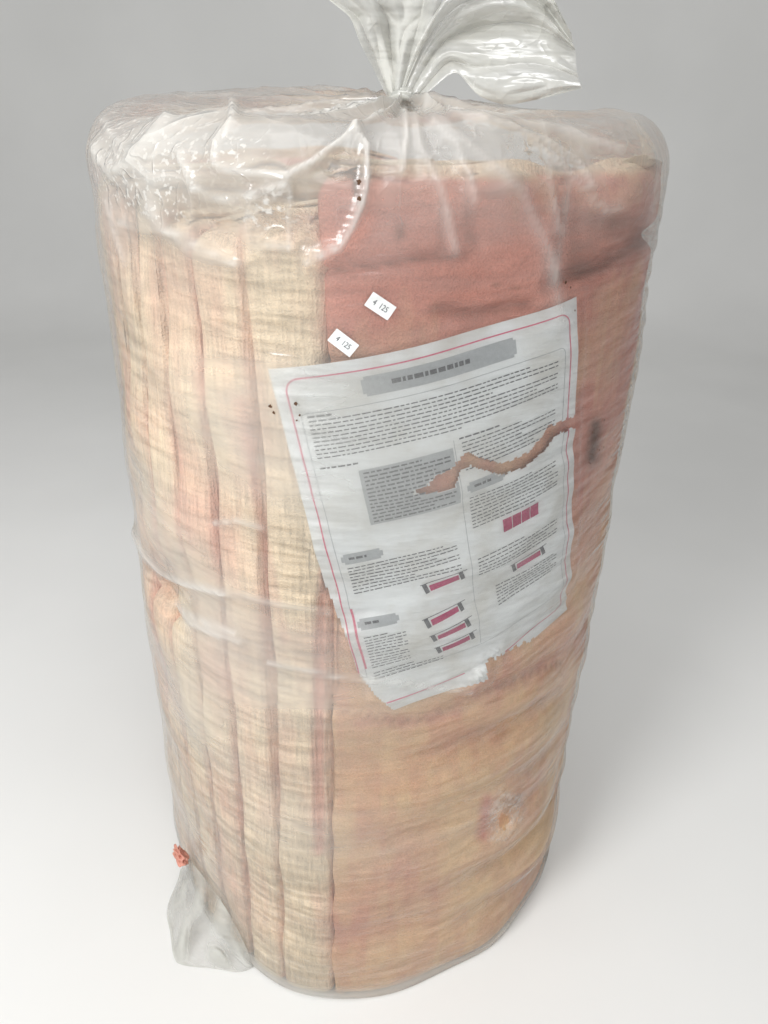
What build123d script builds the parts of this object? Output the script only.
from build123d import *
import os
from math import atan2, cos, hypot, pi, radians, sin, sqrt, tan

# A tied polythene bag of glass wool insulation batts, standing on its end.
# Millimetres, +Z up. The origin is on the floor below the middle of the pack.
# The batts lie across X and are stacked along Y, with the first batt at the front, towards -Y.

# Batts
batt_length = 1160.0
batt_count = 10
pack_width = 680.0
pack_depth = 656.0
edge_margin = 12.0
batt_end_turn = 34.0
batt_turn_radius = 45.0
turn_fit = 0.95
batt_gap = 0.4
batt_corner_radius = 14.0
batt_rim_chamfer = 10.0
batt_top_chamfer = 13.0
batt_settles = (0.0, 32.0, 40.0, 47.0, 42.0, 30.0, 36.0, 28.0, 34.0, 20.0)

# Round plan of the pack
face_bulge_radius = 450.0
side_bulge_radius = 450.0
plan_corner_radius = 200.0

# Bag film, a stand-in for a film of about 0.1 mm
film_wall = 2.0
film_clearance = 1.0

# Loose top of the bag, gathered to a neck in pleats
headroom = 52.0
shoulder_radius = 44.0
neck_rise = 26.0
neck_radius = 13.0
neck_x = 5.0
neck_y = -40.0
pleat_count = 14
pleat_reach = 235.0
pleat_waist = 115.0
pleat_waist_rise = 17.0
pleat_depth = 0.2
pleat_waist_depth = 0.42

# Knot of the bag's own two corners
knot_ring_radius = 13.0
knot_strand_radius = 10.0
knot_tilt = 24.0
knot_lift = 24.0

# Ears, the two free corners above the knot
ear_film = 3.0
ear_turn = -38.0
left_ear_height = 150.0
left_ear_width = 150.0
left_ear_lean = -24.0
right_ear_reach = 190.0
right_ear_width = 150.0
right_ear_rise = 52.0
right_ear_turn = 80.0
ear_root_width = 26.0
ear_pleats = 4
ear_pleat_slope = 0.1

# Loose bottom corner of the bag, lying on the floor
corner_flap_reach = 72.0
corner_flap_width = 190.0
corner_flap_tip = 110.0
corner_flap_thickness = 3.0
corner_flap_y = -10.0
corner_flap_inset = 30.0

# Instruction sheet, between the film and the batts
sheet_thickness = 0.4
sheet_clearance = 0.3
sheet_width = 320.0
sheet_height = 440.0
sheet_middle_x = 8.0
sheet_middle_z = 808.0
sheet_round = -22.0
sheet_tilt = 10.0
lost_corner_width = 170.0
lost_corner_height = 55.0
tear_length = 225.0
tear_width = 15.0
tear_height = 58.0
tear_kink = 26.0

# Stuck-on lot labels, outside the film
label_width = 26.0
label_height = 14.5
label_thickness = 0.2
label_clearance = 0.4
label_corner = 1.5
label_places = ((-36.0, 1051.0, -34.0), (-41.5, 1017.0, -38.0))

edge_depth = pack_depth - 2 * edge_margin
bag_top = film_wall + batt_length + headroom


def arc_corner_centre():
    """Centre of the round corner that joins the face and side bulges, first quadrant."""
    face_centre = pack_depth / 2 - face_bulge_radius
    side_centre = pack_width / 2 - side_bulge_radius
    face_reach = face_bulge_radius - plan_corner_radius
    side_reach = side_bulge_radius - plan_corner_radius
    span = hypot(side_centre, face_centre)
    along = (side_reach ** 2 - face_reach ** 2 + span ** 2) / (2 * span)
    across = sqrt(side_reach ** 2 - along ** 2)
    direction = atan2(face_centre, -side_centre)
    x = side_centre + along * cos(direction) - across * sin(direction)
    y = along * sin(direction) + across * cos(direction)
    return x, y


def side_point(y):
    """Point of the pack's plan on its +X side at a distance y from its middle, and the way in."""
    corner_x, corner_y = arc_corner_centre()
    side_centre = pack_width / 2 - side_bulge_radius
    side_end = corner_y * side_bulge_radius / (side_bulge_radius - plan_corner_radius)
    if abs(y) <= side_end:
        x = side_centre + sqrt(side_bulge_radius ** 2 - y ** 2)
        return Vector(x, y), Vector(side_centre - x, -y).normalized()
    x = corner_x + sqrt(plan_corner_radius ** 2 - (abs(y) - corner_y) ** 2)
    inward = Vector(corner_x - x, corner_y - y if y > 0 else -corner_y - y)
    return Vector(x, y), inward.normalized()


def plan_face(grow):
    """Plan of the pack: four bulged sides with round corners, grown outwards."""
    face_shift = face_bulge_radius - pack_depth / 2
    side_shift = side_bulge_radius - pack_width / 2
    plan = Pos(0, face_shift) * Circle(face_bulge_radius + grow)
    plan &= Pos(0, -face_shift) * Circle(face_bulge_radius + grow)
    plan &= Pos(side_shift, 0) * Circle(side_bulge_radius + grow)
    plan &= Pos(-side_shift, 0) * Circle(side_bulge_radius + grow)
    return fillet(plan.vertices(), plan_corner_radius + grow)


def batt_line(station, shift):
    """Batt boundary, moved along Y by shift: square on at the outline, then bowed across the pack.

    Gives its edges, its two outer ends, the points where it meets the outline, the points where it turns
    and the radius that it turns with, for which the straight stretch has room beside its soft corner.
    """
    share = station / batt_count - 0.5
    edge, inward = side_point(edge_depth * share)
    turned = edge + inward * batt_end_turn
    right = [point + Vector(0, shift) for point in (edge - inward * batt_end_turn, edge, turned)]
    left = [Vector(-point.X, point.Y) for point in right]
    middle = Vector(0, pack_depth * share + shift)
    straight = abs(middle.Y - right[2].Y) < batt_gap
    across = Line(left[2], right[2]) if straight else ThreePointArc(left[2], middle, right[2])
    edges = [Line(left[0], left[2]), across, Line(right[2], right[0])]
    half_bend = tan(radians(inward.get_angle(across % 1 * -1)) / 2)
    room = turn_fit * (batt_end_turn - batt_corner_radius)
    radius = batt_turn_radius if batt_turn_radius * half_bend < room else room / half_bend
    return edges, (left[0], right[0]), (left[1], right[1]), (left[2], right[2]), radius


def make_batt(number):
    """One batt: the pack's plan between two boundaries, settled in length, with soft corners and rims."""
    length = batt_length - batt_settles[(number - 1) % len(batt_settles)]
    corners, rounds = [], []
    sides = []
    edges = []
    for station, shift, outside in ((number - 1, batt_gap / 2, -pack_width), (number, -batt_gap / 2, pack_width)):
        if 0 < station < batt_count:
            line, ends, meets, turns, turn_radius = batt_line(station, shift)
            corners += meets
            rounds.append((turns, turn_radius))
        else:
            ends = (Vector(-pack_width, outside), Vector(pack_width, outside))
            line = [Line(*ends)]
        edges += line
        sides.append(ends)
    edges += [Line(sides[0][0], sides[1][0]), Line(sides[0][1], sides[1][1])]
    slab = extrude(plan_face(0.0) & make_face(Wire(edges)), amount=length)
    for places, radius in rounds + [(corners, batt_corner_radius)]:
        upright = slab.edges().filter_by(Axis.Z)
        slab = fillet([upright.sort_by_distance(place)[0] for place in places], radius)
    slab = chamfer(slab.faces().sort_by(Axis.Z)[0].edges(), batt_rim_chamfer)
    return Pos(0, 0, film_wall) * chamfer(slab.faces().sort_by(Axis.Z)[-1].edges(), batt_top_chamfer)


def folded_solid(low, high):
    """Solid between two outlines that have the same folds, with two flat faces for each fold."""
    faces = [Face(Wire.make_polygon(low)), Face(Wire.make_polygon(high))]
    for index in range(len(low)):
        after = (index + 1) % len(low)
        faces.append(Face(Wire.make_polygon([low[index], low[after], high[after]])))
        faces.append(Face(Wire.make_polygon([low[index], high[after], high[index]])))
    return Solid(Shell(faces))


def pleat_star(radius, height, depth):
    """Level section of the gathered film: a star with a ridge and a valley for each pleat."""
    points = []
    for step in range(2 * pleat_count):
        angle = pi * step / pleat_count
        reach = radius * (1 - depth * (step % 2))
        points.append(Vector(neck_x + reach * cos(angle), neck_y + reach * sin(angle), height))
    return points


def make_neck():
    """Film gathered in pleats from the flat of the bag's top up to the knot."""
    foot = pleat_star(pleat_reach, bag_top - film_wall / 2, pleat_depth)
    waist = pleat_star(pleat_waist, bag_top + pleat_waist_rise, pleat_waist_depth)
    throat = pleat_star(neck_radius, bag_top + neck_rise, pleat_depth)
    return folded_solid(foot, waist) + folded_solid(waist, throat)


def make_knot():
    """Two strands of film wound round each other at the neck."""
    ring = Torus(knot_ring_radius, knot_strand_radius)
    core = Sphere(knot_ring_radius)
    first = Rot(0, 0, ear_turn) * Rot(knot_tilt, 0, 0) * ring
    second = Rot(0, 0, ear_turn) * Rot(-knot_tilt, knot_tilt, 0) * Pos(0, 0, knot_strand_radius / 2) * ring
    return Pos(neck_x, neck_y, bag_top + knot_lift) * (first + second + core)


def ribbon(width, place):
    """Pleated strip of film, seen end on, along X of its place."""
    wave = ear_pleat_slope * width
    front = []
    for step in range(2 * ear_pleats + 1):
        front.append((width * (step / (2 * ear_pleats) - 0.5), wave * (1 if step % 2 else -1)))
    back = [(x, y + ear_film) for x, y in front]
    return [(place * Pos(x, y)).position for x, y in front + back[::-1]]


def make_left_ear(root):
    """Ear that stands up from the knot and opens into a fan."""
    end = root * Pos(left_ear_lean, 0, left_ear_height)
    return folded_solid(ribbon(ear_root_width, root), ribbon(left_ear_width, end))


def make_right_ear(root):
    """Ear that leans over to the side of the knot."""
    turn = Rot(0, right_ear_turn, 0)
    end = root * Pos(right_ear_reach, 0, right_ear_rise) * turn
    return folded_solid(ribbon(ear_root_width, root * turn), ribbon(right_ear_width, end))


def make_corner_flap():
    """Loose corner of the bag's bottom, flat on the floor."""
    inner = -pack_width / 2 + corner_flap_inset
    tip = -pack_width / 2 - film_clearance - film_wall - corner_flap_reach
    shape = Polygon(
        (inner, corner_flap_y - corner_flap_width / 2),
        (inner, corner_flap_y + corner_flap_width / 2),
        (tip + corner_flap_reach / 2, corner_flap_y + corner_flap_tip / 2),
        (tip, corner_flap_y - corner_flap_tip / 2),
        align=None,
    )
    return extrude(shape, amount=corner_flap_thickness)


def make_bag():
    """The whole bag: wall, floor, gathered top, knot, two ears and the loose bottom corner."""
    outer = extrude(plan_face(film_clearance + film_wall), amount=bag_top)
    outer = fillet(outer.faces().sort_by(Axis.Z)[-1].edges(), shoulder_radius)
    outer = chamfer(outer.faces().sort_by(Axis.Z)[0].edges(), batt_rim_chamfer + film_wall / 2)
    inner = Pos(0, 0, film_wall) * extrude(plan_face(film_clearance), amount=bag_top - 2 * film_wall)
    inner = chamfer(inner.faces().sort_by(Axis.Z)[-1].edges(), shoulder_radius - film_wall)
    inner = chamfer(inner.faces().sort_by(Axis.Z)[0].edges(), batt_rim_chamfer)
    root = Pos(neck_x, neck_y, bag_top + knot_lift) * Rot(0, 0, ear_turn)
    top = make_neck() + make_knot() + make_left_ear(root) + make_right_ear(root)
    return outer + top + make_corner_flap() - inner


def wall_strip(inner_grow, thickness, low, high):
    """Upright strip that follows the pack's plan all round."""
    ring = plan_face(inner_grow + thickness) - plan_face(inner_grow)
    return Pos(0, 0, low) * extrude(ring, amount=high - low)


def make_sheet():
    """Printed sheet round the pack's front corner, torn across and with its lower edge torn off."""
    half_width = sheet_width / 2
    half_height = sheet_height / 2
    reach = hypot(half_width, half_height)
    strip = wall_strip(sheet_clearance, sheet_thickness, sheet_middle_z - reach, sheet_middle_z + reach)
    paper = Polygon(
        (-half_width, -half_height),
        (half_width - lost_corner_width, -half_height + lost_corner_height / 2),
        (half_width - 0.8 * lost_corner_width, -half_height + lost_corner_height),
        (half_width, -half_height + lost_corner_height),
        (half_width, half_height),
        (-half_width, half_height),
        align=None,
    )
    tip = half_width - tear_length
    tear = Pos(0, tear_height) * Polygon(
        (tip, -tear_kink),
        (tip + 0.4 * tear_length, -tear_kink + tear_width / 2),
        (tip + 0.5 * tear_length, -tear_width / 2),
        (half_width + tear_width, tear_kink - tear_width / 2),
        (half_width + tear_width, tear_kink + tear_width / 2),
        (tip + 0.55 * tear_length, tear_width / 2),
        (tip + 0.3 * tear_length, tear_width / 2),
        align=None,
    )
    flat = Pos(sheet_middle_x, sheet_middle_z) * Rot(0, 0, sheet_tilt) * (paper - tear)
    return strip & (Rot(0, 0, sheet_round) * Rot(90, 0, 0) * extrude(flat, amount=pack_width))


def make_label(place):
    """Small stuck-on label that follows the film."""
    turn, height, roll = place
    strip = wall_strip(film_clearance + film_wall + label_clearance, label_thickness,
                       height - label_width, height + label_width)
    flat = Pos(0, height) * Rot(0, 0, roll) * RectangleRounded(label_width, label_height, label_corner)
    prism = Rot(0, 0, turn) * Rot(90, 0, 0) * extrude(flat, amount=pack_width)
    return strip & prism


os.makedirs("parts", exist_ok=True)
for index in range(1, batt_count + 1):
    export_step(make_batt(index), f"parts/batt_{index}.step")
export_step(make_bag(), "parts/bag.step")
export_step(make_sheet(), "parts/instruction_sheet.step")
for index, place in enumerate(label_places, start=1):
    export_step(make_label(place), f"parts/lot_label_{index}.step")
